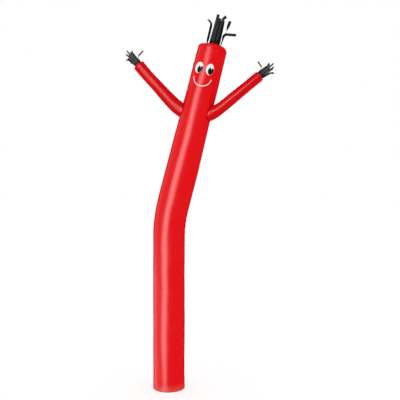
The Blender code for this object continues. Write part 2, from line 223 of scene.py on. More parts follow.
def buildRibbonTree():
    # A ribbon along a path, its width along the path's facing and slightly cupped
    tree = newTree("clothRibbon", [
        ("Width", "NodeSocketFloat"), ("Cup", "NodeSocketFloat"), ("Lanes", "NodeSocketInt"),
        ("Material", "NodeSocketMaterial"),
    ])
    start = addNode(tree, "NodeGroupInput")
    curve = facedCurve(tree, start)
    reach = addNode(tree, "GeometryNodeInputNamedAttribute", [("Name", "reach")])
    half = addMath(tree, "MULTIPLY", start.outputs["Width"], 0.5)
    far = addNode(tree, "ShaderNodeCombineXYZ", [("X", half)])
    near = scaleVector(tree, far.outputs[0], -1.0)
    line = addNode(tree, "GeometryNodeCurvePrimitiveLine", [
        ("Start", near), ("End", far.outputs[0]),
    ])
    lanes = addNode(tree, "GeometryNodeResampleCurve", [
        ("Curve", line.outputs["Curve"]), ("Count", start.outputs["Lanes"]),
    ])
    place = addNode(tree, "GeometryNodeInputPosition")
    across = addNode(tree, "ShaderNodeSeparateXYZ", [("Vector", place.outputs[0])])
    share = addMath(tree, "DIVIDE", across.outputs["X"], half)
    square = addMath(tree, "MULTIPLY", share, share)
    lift = addMath(tree, "MULTIPLY", square, start.outputs["Cup"])
    offset = addNode(tree, "ShaderNodeCombineXYZ", [("Y", lift)])
    cupped = addNode(tree, "GeometryNodeSetPosition", [
        ("Geometry", lanes.outputs["Curve"]), ("Offset", offset.outputs[0]),
    ])
    ribbon = addNode(tree, "GeometryNodeCurveToMesh", [
        ("Curve", curve.outputs["Curve"]), ("Profile Curve", cupped.outputs["Geometry"]),
        ("Scale", reach.outputs["Attribute"]), ("Fill Caps", False),
    ])
    closeTree(tree, start, ribbon.outputs["Mesh"])
    return tree


def buildStitchTree():
    # A row of short thread stitches along a path
    tree = newTree("stitchRow", [
        ("Spacing", "NodeSocketFloat"), ("Stitch Length", "NodeSocketFloat"),
        ("Thread Width", "NodeSocketFloat"), ("Material", "NodeSocketMaterial"),
    ])
    start = addNode(tree, "NodeGroupInput")
    curve = facedCurve(tree, start)
    points = addNode(tree, "GeometryNodeCurveToPoints", [
        ("Curve", curve.outputs["Curve"]), ("Length", start.outputs["Spacing"]),
    ], mode="LENGTH")
    thread = addNode(tree, "GeometryNodeMeshUVSphere", [
        ("Segments", 6), ("Rings", 4), ("Radius", 0.5),
    ])
    size = addNode(tree, "ShaderNodeCombineXYZ", [
        ("X", start.outputs["Thread Width"]), ("Y", start.outputs["Thread Width"]),
        ("Z", start.outputs["Stitch Length"]),
    ])
    stitches = addNode(tree, "GeometryNodeInstanceOnPoints", [
        ("Points", points.outputs["Points"]), ("Instance", thread.outputs["Mesh"]),
        ("Rotation", points.outputs["Rotation"]), ("Scale", size.outputs[0]),
    ])
    closeTree(tree, start, stitches.outputs["Instances"])
    return tree


tubeTree, ribbonTree, stitchTree = buildTubeTree(), buildRibbonTree(), buildStitchTree()


def pathMesh(paths):
    # Each path: points, facings, reach (one number or one for each point), closed
    points, edges, facings, reaches = [], [], [], []
    for path in paths:
        first, count = len(points), len(path["points"])
        points += [tuple(point) for point in path["points"]]
        edges += [(first + index, first + index + 1) for index in range(count - 1)]
        if path.get("closed"):
            edges.append((first + count - 1, first))
        facings.append(np.broadcast_to(path["facing"], (count, 3)))
        reaches.append(np.broadcast_to(path.get("reach", 1.0), (count,)))
    mesh = bpy.data.meshes.new("paths")
    mesh.from_pydata(points, edges, [])
    facing = mesh.attributes.new("facing", "FLOAT_VECTOR", "POINT")
    facing.data.foreach_set("vector", np.concatenate(facings).astype(float).ravel())
    reach = mesh.attributes.new("reach", "FLOAT", "POINT")
    reach.data.foreach_set("value", np.concatenate(reaches).astype(float))
    return mesh


def growMesh(name, paths, tree, values):
    seed = bpy.data.objects.new(name + "Path", pathMesh(paths))
    bpy.context.scene.collection.objects.link(seed)
    growth = seed.modifiers.new("growth", "NODES")
    growth.node_group = tree
    for item in tree.interface.items_tree:
        if item.in_out == "INPUT" and item.name in values:
            growth[item.identifier] = values[item.name]
    depsgraph = bpy.context.evaluated_depsgraph_get()
    grown = bpy.data.meshes.new_from_object(seed.evaluated_get(depsgraph), depsgraph=depsgraph)
    seed.modifiers.remove(growth)
    bpy.data.objects.remove(seed, do_unlink=True)
    grown.name = name
    return grown


def addPiece(name, mesh, wall=0.0, nodes=()):
    piece = bpy.data.objects.new(name, mesh)
    bpy.context.scene.collection.objects.link(piece)
    if wall:
        solid = piece.modifiers.new("cloth wall", "SOLIDIFY")
        solid.thickness = wall
        solid.offset = -1.0
        solid.use_even_offset = False
    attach(piece, "root")
    if nodes:
        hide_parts(*nodes)
    return piece


def faceOutwards(mesh, outward):
    # Turns all faces round if they point against outward, which has a row for each point
    normals = np.empty(len(mesh.polygons) * 3)
    mesh.polygons.foreach_get("normal", normals)
    firstPoints = np.array([polygon.vertices[0] for polygon in mesh.polygons])
    if (normals.reshape(-1, 3) * outward[firstPoints]).sum() < 0:
        mesh.flip_normals()


def setPoints(mesh, points):
    mesh.vertices.foreach_set("co", np.ascontiguousarray(points, float).ravel())
    mesh.update()


def setClothUv(mesh, across, along, girth=0.0):
    # A flat map in metres, unrolled over one girth where the cloth goes round
    layer = mesh.uv_layers.new(name="cloth")
    corners = np.empty(len(mesh.loops), int)
    mesh.loops.foreach_get("vertex_index", corners)
    u, v = across[corners].copy(), along[corners]
    if girth:
        for polygon in mesh.polygons:
            span = slice(polygon.loop_start, polygon.loop_start + polygon.loop_total)
            if u[span].max() - u[span].min() > girth / 2:
                u[span] += np.where(u[span] < 0.0, girth, 0.0)
    layer.data.foreach_set("uv", np.stack([u, v], -1).ravel())


print("stage: materials")


def shaderGroup(name, inputs, outputs):
    group = bpy.data.node_groups.new(name, "ShaderNodeTree")
    for label, kind, value in inputs:
        socket = group.interface.new_socket(label, in_out="INPUT", socket_type=kind)
        if value is not None:
            socket.default_value = value
    for label, kind in outputs:
        group.interface.new_socket(label, in_out="OUTPUT", socket_type=kind)
    return group


def buildWeaveGroup():
    # Ripstop nylon: fine plain weave with a grid of doubled threads
    group = shaderGroup("ripstopWeave", [
        ("Cloth Place", "NodeSocketVector", None), ("Thread Pitch", "NodeSocketFloat", 0.0006),
        ("Grid Pitch", "NodeSocketFloat", 0.006), ("Grid Height", "NodeSocketFloat", 1.0),
    ], [("Height", "NodeSocketFloat"), ("Grid", "NodeSocketFloat")])
    start = addNode(group, "NodeGroupInput")
    place = addNode(group, "ShaderNodeSeparateXYZ", [("Vector", start.outputs["Cloth Place"])])
    waves, lines = [], []
    for axis in ("X", "Y"):
        thread = addMath(group, "DIVIDE", place.outputs[axis], start.outputs["Thread Pitch"])
        waves.append(addMath(group, "SINE", addMath(group, "MULTIPLY", thread, math.pi)))
        cell = addMath(group, "DIVIDE", place.outputs[axis], start.outputs["Grid Pitch"])
        away = addMath(group, "PINGPONG", cell, 0.5)
        line = addNode(group, "ShaderNodeMapRange", [
            ("Value", away), ("From Min", 0.04), ("From Max", 0.12),
            ("To Min", 1.0), ("To Max", 0.0),
        ], interpolation_type="SMOOTHSTEP")
        lines.append(line.outputs[0])
    weave = addMath(group, "MULTIPLY", *waves)
    grid = addMath(group, "MAXIMUM", *lines)
    raised = addMath(group, "MULTIPLY_ADD", grid, start.outputs["Grid Height"], weave)
    addNode(group, "NodeGroupOutput", [("Height", raised), ("Grid", grid)])
    return group


def buildToneGroup():
    # Slow uneven tone of dyed cloth, a little dust low down
    group = shaderGroup("clothTone", [
        ("Place", "NodeSocketVector", None), ("Colour", "NodeSocketColor", None),
        ("Patch Scale", "NodeSocketFloat", 3.0), ("Unevenness", "NodeSocketFloat", 0.04),
        ("Dust", "NodeSocketColor", (0.42, 0.30, 0.24, 1.0)),
        ("Dust Height", "NodeSocketFloat", 0.12), ("Dust Amount", "NodeSocketFloat", 0.0),
    ], [("Colour", "NodeSocketColor"), ("Rough", "NodeSocketFloat")])
    start = addNode(group, "NodeGroupInput")
    patches = addNode(group, "ShaderNodeTexNoise", [
        ("Vector", start.outputs["Place"]), ("Scale", start.outputs["Patch Scale"]),
        ("Detail", 3.0), ("Roughness", 0.55),
    ])
    centred = addMath(group, "SUBTRACT", patches.outputs["Fac"], 0.5)
    gain = addMath(group, "MULTIPLY_ADD", centred, start.outputs["Unevenness"], 1.0)
    toned = scaleVector(group, start.outputs["Colour"], gain)
    place = addNode(group, "ShaderNodeSeparateXYZ", [("Vector", start.outputs["Place"])])
    low = addNode(group, "ShaderNodeMapRange", [
        ("Value", place.outputs["Z"]), ("From Min", 0.0),
        ("From Max", start.outputs["Dust Height"]), ("To Min", 1.0), ("To Max", 0.0),
    ], interpolation_type="SMOOTHSTEP")
    specks = addNode(group, "ShaderNodeTexNoise", [
        ("Vector", start.outputs["Place"]), ("Scale", 38.0), ("Detail", 4.0),
    ])
    dusty = addMath(group, "MULTIPLY", low.outputs[0], specks.outputs["Fac"])
    amount = addMath(group, "MULTIPLY", dusty, start.outputs["Dust Amount"])
    mixed = addNode(group, "ShaderNodeMix", [("Factor", amount)], data_type="RGBA")
    group.links.new(toned, mixed.inputs["A"])
    group.links.new(start.outputs["Dust"], mixed.inputs["B"])
    rough = addMath(group, "MULTIPLY_ADD", centred, 0.16, amount)
    addNode(group, "NodeGroupOutput", [("Colour", mixed.outputs["Result"]), ("Rough", rough)])
    return group


weaveGroup, toneGroup = buildWeaveGroup(), buildToneGroup()


def clothMaterial(name, look):
    material = bpy.data.materials.new(name)
    material.use_nodes = True
    tree = material.node_tree
    shader = tree.nodes["Principled BSDF"]
    place = addNode(tree, "ShaderNodeTexCoord")
    flat = addNode(tree, "ShaderNodeUVMap", uv_map="cloth")
    weave = addNode(tree, "ShaderNodeGroup", node_tree=weaveGroup)
    tree.links.new(flat.outputs["UV"], weave.inputs["Cloth Place"])
    tone = addNode(tree, "ShaderNodeGroup", node_tree=toneGroup)
    tree.links.new(place.outputs["Object"], tone.inputs["Place"])
    for group, label, value in (
        (weave, "Thread Pitch", look["threadPitch"]), (weave, "Grid Pitch", look["gridPitch"]),
        (weave, "Grid Height", look["gridHeight"]), (tone, "Colour", (*look["colour"], 1.0)),
        (tone, "Unevenness", look["unevenness"]), (tone, "Dust Amount", look["dust"]),
    ):
        group.inputs[label].default_value = value
    darker = addMath(tree, "MULTIPLY_ADD", weave.outputs["Grid"], -look["gridShade"], 1.0)
    colour = scaleVector(tree, tone.outputs["Colour"], darker)
    tree.links.new(colour, shader.inputs["Base Color"])
    rough = addMath(tree, "ADD", tone.outputs["Rough"], look["roughness"])
    tree.links.new(rough, shader.inputs["Roughness"])
    bump = addNode(tree, "ShaderNodeBump", [
        ("Height", weave.outputs["Height"]), ("Strength", look["bump"]),
        ("Distance", look["bumpDepth"]),
    ])
    tree.links.new(bump.outputs["Normal"], shader.inputs["Normal"])
    shader.inputs["Specular IOR Level"].default_value = look["specular"]
    material.diffuse_color = (*look["colour"], 1.0)
    return material


redLook = {
    "colour": (0.785, 0.0004, 0.0034), "roughness": 0.26, "specular": 0.14,
    "threadPitch": 0.0007, "gridPitch": 0.0065, "gridHeight": 1.2, "gridShade": 0.05,
    "bump": 0.25, "bumpDepth": 0.0001, "unevenness": 0.05, "dust": 0.35,
}
blackLook = {
    "colour": (0.010, 0.010, 0.011), "roughness": 0.40, "specular": 0.13,
    "threadPitch": 0.0006, "gridPitch": 0.0065, "gridHeight": 1.0, "gridShade": 0.10,
    "bump": 0.30, "bumpDepth": 0.0001, "unevenness": 0.20, "dust": 0.0,
}
whiteLook = {
    "colour": (0.88, 0.88, 0.88), "roughness": 0.45, "specular": 0.12,
    "threadPitch": 0.0006, "gridPitch": 0.0065, "gridHeight": 0.6, "gridShade": 0.03,
    "bump": 0.20, "bumpDepth": 0.0001, "unevenness": 0.03, "dust": 0.0,
}
# the arms' cloth is the same red nylon painted darker as painted shade, with weaker gloss
armShadedLook = dict(redLook, colour=(0.64, 0.0004, 0.0040), specular=0.07)
pupilLook = dict(blackLook, specular=0.04)
redThreadLook = dict(redLook, colour=(0.62, 0.0012, 0.0060), roughness=0.5, dust=0.0)

redCloth = clothMaterial("redNylon", redLook)
armShadedNylon = clothMaterial("armShadedNylon", armShadedLook)
blackCloth = clothMaterial("blackNylon", blackLook)
pupilCloth = clothMaterial("pupilNylon", pupilLook)
whiteCloth = clothMaterial("whiteNylon", whiteLook)
redThread = clothMaterial("redThread", redThreadLook)


print("stage: body")

bodyCloth = {
    "sides": 152,
    "wall": 0.0012,
    "top": 4.9597,
    # ring spacing up to each distance along the body
    "ringSteps": [(0.06, 0.009), (0.5, 0.022), (1.9, 0.034), (2.8, 0.014), (3.7, 0.026),
                  (4.4, 0.010), (4.78, 0.016)],
    "topStep": 0.008, "flatRadius": 0.229,
    "hemHeight": 0.045, "hemLift": 0.0010, "hemPucker": 0.0007,
    "backSeamHalf": 0.011, "backSeamLift": 0.0011, "seamRadius": 0.23,
    "seamPucker": 0.0012, "seamPuckerPitch": 0.071,
    "groove": 0.0010, "grooveWidth": 0.020,      # beside the armhole seams
}
bodyRipples = [
    # size, times around, waves along one metre, phase
    (0.0011, 2, 0.55, 0.4), (0.0008, 3, -0.90, 1.9), (0.0005, 1, 1.70, 3.1),
    (0.0004, 5, 0.80, 0.9), (0.0003, 4, -2.30, 2.2),
]
bodyCreases = [
    # along, turn, depth, half height, half turn in degrees, slant in metres for one radian
    (2.225, 84.0, 0.0040, 0.020, 34.0, 0.010),
    (2.318, 98.0, 0.0055, 0.024, 42.0, -0.020),
    (2.415, 80.0, 0.0062, 0.022, 46.0, 0.016),
    (2.502, 101.0, 0.0058, 0.025, 40.0, -0.012),
    (2.598, 86.0, 0.0046, 0.021, 36.0, 0.022),
    (2.690, 94.0, 0.0030, 0.020, 30.0, -0.010),
    (2.462, 138.0, 0.0030, 0.030, 26.0, 0.090),
    (2.360, 44.0, 0.0022, 0.028, 22.0, -0.080),
    (3.860, -62.0, 0.0035, 0.030, 26.0, 0.150),
    (3.780, -96.0, 0.0040, 0.034, 30.0, -0.060),
    (3.880, 66.0, 0.0030, 0.028, 26.0, -0.130),
    (4.235, -70.0, 0.0030, 0.024, 24.0, -0.120),
    (4.330, 74.0, 0.0028, 0.024, 24.0, 0.110),
]
crownPuckers = {"size": 0.0009, "count": 41, "reach": 0.030, "drift": 1.7, "start": 0.012}
holePuckers = {"size": 0.0016, "count": 17, "reach": 0.045, "drift": 1.3, "start": 0.014}
armholes = []                # filled in by the arms: turn, along, radius, angles, reaches


def comb(angle, count, drift):
    # Uneven gathers: a wave whose pitch and height wander
    wander = drift * np.sin(3 * angle + 0.7) + 0.6 * drift * np.sin(7 * angle + 2.1)
    height = 0.62 + 0.38 * np.sin(5 * angle + 1.1) * np.sin(2 * angle + 0.3)
    return height * np.cos(count * angle + wander)


def wrapTurn(turn):
    return (turn + math.pi) % (2 * math.pi) - math.pi


def holeReach(hole, angle):
    return np.interp(angle, hole["angles"], hole["reaches"], period=2 * math.pi)


def holePlace(hole, turn, along):
    # The angle about an armhole's middle, the distance from it, and the hole's reach there
    across = wrapTurn(turn - hole["turn"]) * hole["radius"]
    up = along - hole["along"]
    angle = np.arctan2(up, across)
    return angle, np.hypot(across, up), holeReach(hole, angle)


def pucker(puckers, away, angle):
    # Gathers beside a seam, fading out with the distance away from it
    fade = np.exp(-np.abs(away) / puckers["reach"]) * smoothShare(away / puckers["start"])
    return puckers["size"] * fade * comb(angle, puckers["count"], puckers["drift"])


def bodyRelief(turn, along):
    turn, along = np.broadcast_arrays(np.asarray(turn, float), np.asarray(along, float))
    relief = np.zeros(turn.shape)
    taut = smoothShare(along / 0.25) * smoothShare((bodyCloth["top"] - along) / 0.2)
    for size, around, waves, phase in bodyRipples:
        relief = relief + taut * size * np.sin(
            around * turn + 2 * math.pi * waves * along + phase
        )
    for middle, where, depth, half, spread, slant in bodyCreases:
        off = wrapTurn(turn - math.radians(where))
        run = (along - middle - slant * off) / half
        fade = np.exp(-(off / math.radians(spread)) ** 2)
        relief = relief - depth * fade * (np.exp(-run ** 2) - 0.45 * np.exp(-(run / 2.1) ** 2))
    relief = relief + pucker(crownPuckers, bodyCloth["top"] - along, turn)
    hem = smoothShare((bodyCloth["hemHeight"] + 0.003 - along) / 0.003)
    relief = relief + hem * bodyCloth["hemLift"]
    wavy = np.exp(-np.abs(along - bodyCloth["hemHeight"]) / 0.03)
    relief = relief + bodyCloth["hemPucker"] * wavy * comb(turn, 29, 1.1)
    off = np.abs(wrapTurn(turn - math.pi)) * bodyCloth["seamRadius"]
    seam = smoothShare((bodyCloth["backSeamHalf"] + 0.003 - off) / 0.003)
    relief = relief + seam * bodyCloth["backSeamLift"]
    beside = np.exp(-off / 0.030)
    wave = 2 * math.pi * along / bodyCloth["seamPuckerPitch"] + 1.7 * np.sin(9.0 * along)
    relief = relief + bodyCloth["seamPucker"] * beside * np.sin(wave)
    for hole in armholes:
        angle, away, reach = holePlace(hole, turn, along)
        away = away - reach
        relief = relief + pucker(holePuckers, away, angle)
        groove = np.exp(-(away / bodyCloth["grooveWidth"]) ** 2) * smoothShare(away / 0.004)
        relief = relief - bodyCloth["groove"] * groove
    return relief


def bodySkin(turn, along, lift=0.0):
    turn, along = np.broadcast_arrays(np.asarray(turn, float), np.asarray(along, float))
    line = bodyLine(along)
    radius = readAll(bodySections, along, 1) + bodyRelief(turn, along) + lift
    return line[0] + aroundLine(line, turn) * radius[..., None]


def ringPlaces(steps, start=0.0):
    places, along = [start], start
    for end, step in steps:
        count = max(round((end - along) / step), 1)
        places += [blend(along, end, (index + 1) / count) for index in range(count)]
        along = end
    return np.array(places)


armCloth = {
    "sides": 64, "wall": 0.0010, "forward": 0.03,
    "edgeRadius": 0.016, "rise": 0.003, "vent": 0.056, "ventHem": 0.022, "flatRadius": 0.085,
    "groove": 0.0010, "grooveWidth": 0.014, "fineStep": 0.007, "step": 0.016,
    "rootRun": 0.12, "slideRun": 0.35,      # how far the root's finer rings and its slant reach
    "rootPuckers": {"size": 0.0014, "count": 15, "reach": 0.050, "drift": 1.2, "start": 0.012},
    "handPuckers": {"size": 0.0009, "count": 19, "reach": 0.032, "drift": 1.0},
}
arms = {
    "left": {
        "way": -1, "shoulder": 4.03,
        "rows": [
            # along, radius, rise and sweep to the back in degrees
            (-0.13, 0.1027, 35.3, 0.0), (0.00, 0.1027, 35.3, 0.0), (0.16, 0.0977, 44.3, -1.0),
            (0.32, 0.0912, 48.3, -2.0), (0.60, 0.0840, 47.1, -3.0), (0.925, 0.0862, 52.4, -4.0),
        ],
        "flat": (0.60, 0.94),
    },
    "right": {
        "way": 1, "shoulder": 4.08,
        "rows": [
            # along, radius, rise and sweep to the back in degrees
            (-0.13, 0.0978, 22.2, 0.0), (0.00, 0.0978, 22.2, 0.0), (0.16, 0.0829, 35.6, 2.0),
            (0.32, 0.0800, 39.3, 5.0), (0.60, 0.0760, 39.4, 9.0), (0.87, 0.0773, 39.8, 12.0),
        ],
        "flat": (0.55, 0.88),
    },
}


def makeArmLine(arm):
    # The arm's middle line from its shoulder on the body, stepped finely and read by distance
    rows, way = arm["rows"], arm["way"]
    dense = np.arange(-0.13, rows[-1][0] + 0.05, 0.005)
    rise = np.radians(readAll(rows, dense, 2))
    sweep = np.radians(readAll(rows, dense, 3))
    tangents = np.stack([
        way * np.cos(rise) * np.cos(sweep), np.cos(rise) * np.sin(sweep), np.sin(rise),
    ], -1)
    steps = (tangents[1:] + tangents[:-1]) / 2 * np.diff(dense)[:, None]
    centres = np.concatenate([np.zeros((1, 3)), np.cumsum(steps, axis=0)])
    centres -= [np.interp(0.0, dense, centres[:, axis]) for axis in range(3)]
    centre, _, side, back = bodyLine(arm["shoulder"])
    radius = readTable(bodySections, arm["shoulder"], 1)
    reach = math.sqrt(radius ** 2 - armCloth["forward"] ** 2)
    centres += centre + side * way * reach - back * armCloth["forward"]

    def line(along):
        along = np.asarray(along, float)
        at = np.stack([np.interp(along, dense, centres[:, axis]) for axis in range(3)], -1)
        tangent = unit(np.stack([
            np.interp(along, dense, tangents[:, axis]) for axis in range(3)
        ], -1))
        armBack = unit(np.array([0.0, 1.0, 0.0]) - tangent * tangent[..., 1:2])
        return at, tangent, np.cross(armBack, tangent), armBack

    return line


def bodyPlace(points):
    # Turn, distance along and distance out of points beside the body's straight upper part
    origin, tangent, side, back = bodyLine(3.0)
    away = points - origin
    across, behind = away @ side, away @ back
    return np.arctan2(across, -behind), 3.0 + away @ tangent, np.hypot(across, behind)


def armRelief(turn, along, root, length):
    root = along - root
    size = smoothShare(root / 0.02) * smoothShare((length - along) / 0.02)
    relief = size * 0.0006 * np.sin(2 * turn + 9.0 * along + 0.5)
    relief = relief + size * 0.0003 * np.sin(3 * turn - 21.0 * along + 1.9)
    relief = relief + pucker(armCloth["rootPuckers"], root, turn)
    relief = relief - armCloth["groove"] * np.exp(-(root / armCloth["grooveWidth"]) ** 2)
    puckers = armCloth["handPuckers"]
    fade = np.exp(-np.abs(length - along) / puckers["reach"])
    relief = relief + puckers["size"] * fade * comb(turn, puckers["count"], puckers["drift"])
    return relief


def armRadius(arm, along, turn, root):
    length = arm["rows"][-1][0]
    radius = readAll(arm["rows"], along, 1)
    return radius + armRelief(turn, along, root, length)


def armRoots(arm, line, turns):
    # For each turn, how far along the arm its cloth comes out of the body
    alongs = np.arange(-0.12, 0.32, 0.004)
    radius = readAll(arm["rows"], alongs, 1)
    frameThere = [part[:, None, :] for part in line(alongs)]
    points = frameThere[0] + aroundLine(frameThere, turns[None, :]) * radius[:, None, None]
    turn, along, out = bodyPlace(points)
    proud = out - readAll(bodySections, along, 1)
    roots = []
    for column in range(len(turns)):
        inside = np.nonzero(proud[:, column] < 0)[0].max()
        low, high = proud[inside, column], proud[inside + 1, column]
        roots.append(blend(alongs[inside], alongs[inside + 1], low / (low - high)))
    return np.array(roots)


def growArm(side):
    arm = arms[side]
    arm["line"] = line = makeArmLine(arm)
    length, sides = arm["rows"][-1][0], armCloth["sides"]
    turns = fullTurn(sides, -math.pi)
    roots = armRoots(arm, line, turns)
    hand = length - armCloth["edgeRadius"]
    fine, run = armCloth["fineStep"], armCloth["rootRun"]
    places = ringPlaces([(run, fine), (hand - run, armCloth["step"]), (hand, fine)])
    # the drawn-in end: a rounded edge, a low cone to the vent, then the vent's turned-in hem
    edge = armCloth["edgeRadius"]
    ends = [(hand + edge * math.sin(turn), edge * (1 - math.cos(turn)))
            for turn in np.radians([15, 30, 45, 60, 75, 90])]
    rim = readTable(arm["rows"], hand, 1)
    vent = armCloth["vent"]
    ends += [(blend(length, length + armCloth["rise"], share), blend(edge, rim - vent, share))
             for share in (0.3, 0.6, 0.85, 1.0)]
    top = length + armCloth["rise"]
    ends += [(top + 0.0012, rim - vent + 0.0008), (top, rim - vent + 0.0016),
             (top - armCloth["ventHem"], rim - vent + 0.0014)]
    rows = [(place, 0.0, True) for place in places] + [(*end, False) for end in ends]
    mesh = growMesh(side + "Arm", [{
        "points": line(np.array([row[0] for row in rows]))[0],
        "facing": np.stack([line(row[0])[3] for row in rows]),
        "reach": 0.08,
    }], tubeTree, {"Sides": sides, "Material": armShadedNylon})
    points, outward, alongs = [], [], []
    for place, drawn, free in rows:
        slide = max(1.0 - place / armCloth["slideRun"], 0.0) ** 2 if free else 0.0
        along = place + slide * roots
        there = line(along)
        out = aroundLine(there, turns)
        if free:
            radius = armRadius(arm, along, turns, roots)
        else:
            fade = 1.0 - 0.75 * min(drawn / (rim - vent), 1.0)
            wave = armRelief(turns, np.full(sides, hand), roots, length) * fade
            radius = rim - drawn + wave
        points.append(there[0] + out * radius[:, None])
        outward.append(out)
        alongs.append(along + drawn)
    setPoints(mesh, np.concatenate(points))
    faceOutwards(mesh, np.concatenate(outward))
    flatRadius = armCloth["flatRadius"]
    setClothUv(mesh, np.tile(turns, len(rows)) * flatRadius, np.concatenate(alongs),
               2 * math.pi * flatRadius)
    # the armhole that this root needs in the body
    turn, along, _ = bodyPlace(points[0])
    middleTurn = math.atan2(np.sin(turn).mean(), np.cos(turn).mean())
    middleAlong = float(along.mean())
    radius = readTable(bodySections, middleAlong, 1)
    across, up = wrapTurn(turn - middleTurn) * radius, along - middleAlong
    angles = np.arctan2(up, across)
    order = np.argsort(angles)
    armholes.append({
        "turn": middleTurn, "along": middleAlong, "radius": radius,
        "angles": angles[order], "reaches": np.hypot(across, up)[order],
    })
    return addPiece(side + "ArmCloth", mesh, armCloth["wall"], [side + "_arm"])


print("stage: arms")
armPieces = {side: growArm(side) for side in arms}


def growBody():
    sides = bodyCloth["sides"]
    places = ringPlaces([*bodyCloth["ringSteps"], (bodyCloth["top"], bodyCloth["topStep"])])
    line = bodyLine(places)
    mesh = growMesh("bodyTube", [{
        "points": line[0], "facing": line[3], "reach": 0.2,
    }], tubeTree, {"Sides": sides, "Material": redCloth})
    turns = fullTurn(sides, -math.pi)
    turn, along = np.tile(turns, len(places)), np.repeat(places, sides)
    kept = np.ones(len(turn), bool)
    for hole in armholes:
        _, away, reach = holePlace(hole, turn, along)
        kept &= away >= reach
    builder = bmesh.new()
    builder.from_mesh(mesh)
    builder.verts.ensure_lookup_table()
    doomed = [vert for vert in builder.verts if not kept[vert.index]]
    # the points that stay beside a hole are drawn onto its edge
    for vert in doomed:
        for link in vert.link_edges:
            other = link.other_vert(vert).index
            if not kept[other]:
                continue
            for hole in armholes:
                angle, away, reach = holePlace(hole, turn[other], along[other])
                if away < 0.3:
                    turn[other] = hole["turn"] + math.cos(angle) * reach / hole["radius"]
                    along[other] = hole["along"] + math.sin(angle) * reach
    bmesh.ops.delete(builder, geom=doomed, context="VERTS")
    builder.to_mesh(mesh)
    builder.free()
    turn, along = turn[kept], along[kept]
    setPoints(mesh, bodySkin(turn, along))
    faceOutwards(mesh, aroundLine(bodyLine(along), turn))
    flatRadius = bodyCloth["flatRadius"]
    setClothUv(mesh, wrapTurn(turn) * flatRadius, along, 2 * math.pi * flatRadius)
    return addPiece("bodyCloth", mesh, bodyCloth["wall"], ["body_tube"])


bodyPiece = growBody()


print("stage: crown panel")

crownCloth = {
    "skirt": 0.005, "edgeRadius": 0.035, "rise": 0.027, "vent": 0.108, "ventHem": 0.026,
    "fullness": 2.35, "tilt": 0.009,
    "wall": 0.0012, "puckers": {"size": 0.0011, "count": 41, "reach": 0.040, "drift": 1.7},
}


def growCrown():
    length, edge = bodyLineShape["length"], crownCloth["edgeRadius"]
    start = length - edge - crownCloth["skirt"]
    rim, vent = readTable(bodySections, start, 1), crownCloth["vent"]
    profile = [(start + crownCloth["skirt"] * share, rim) for share in (0.0, 0.5, 1.0)]
    # a full dome from the edge seam to the vent
    top, power = length + crownCloth["rise"], 2.0 / crownCloth["fullness"]
    profile += [(blend(length - edge, top, math.sin(turn) ** power),
                 blend(vent, rim, max(math.cos(turn), 0.0) ** power))
                for turn in np.radians([2, 5, 10, 16, 23, 30, 38, 46, 54, 62, 70, 77, 83, 87, 90])]
    profile += [(top + 0.0014, vent - 0.0006), (top + 0.0006, vent - 0.0012),
                (top - crownCloth["ventHem"], vent - 0.0006)]
    alongs = np.array([row[0] for row in profile])
    radii = np.array([row[1] for row in profile])
    line = bodyLine(alongs)
    sides = bodyCloth["sides"]
    mesh = growMesh("crownPanel", [{
        "points": line[0], "facing": line[3], "reach": 0.2,
    }], tubeTree, {"Sides": sides, "Material": redCloth})
    turns = fullTurn(sides, -math.pi)
    puckers = crownCloth["puckers"]
    run = np.concatenate([[0.0], np.cumsum(np.hypot(np.diff(alongs), np.diff(radii)))])
    points, outward, flatX, flatY = [], [], [], []
    for row, (along, radius) in enumerate(profile):
        there = [part[row] for part in line]
        out = aroundLine(there, turns)
        fade = math.exp(-run[row] / puckers["reach"])
        wave = puckers["size"] * fade * smoothShare(run[row] / 0.01) * comb(
            turns, puckers["count"], puckers["drift"]
        )
        slope = float(smoothShare((rim - radius) / edge))
        slow = 0.0016 * np.sin(3 * turns + 0.8) * smoothShare((radius - vent) / 0.03)
        slow = (slow + crownCloth["tilt"] * np.sin(turns)) * slope
        points.append(
            there[0] + out * (radius + wave * (1 - slope))[:, None]
            + there[1] * (wave * slope + slow)[:, None]
        )
        outward.append(out + there[1] * 2 * slope)
        disc = max(radius, vent) + (0.04 - min(run[row], 0.04))
        flatX.append(disc * np.cos(turns))
        flatY.append(disc * np.sin(turns))
    setPoints(mesh, np.concatenate(points))
    faceOutwards(mesh, np.concatenate(outward))
    setClothUv(mesh, np.concatenate(flatX), np.concatenate(flatY))
    return addPiece("crownCloth", mesh, crownCloth["wall"], ["crown_panel"])


crownPiece = growCrown()


print("stage: fringes")

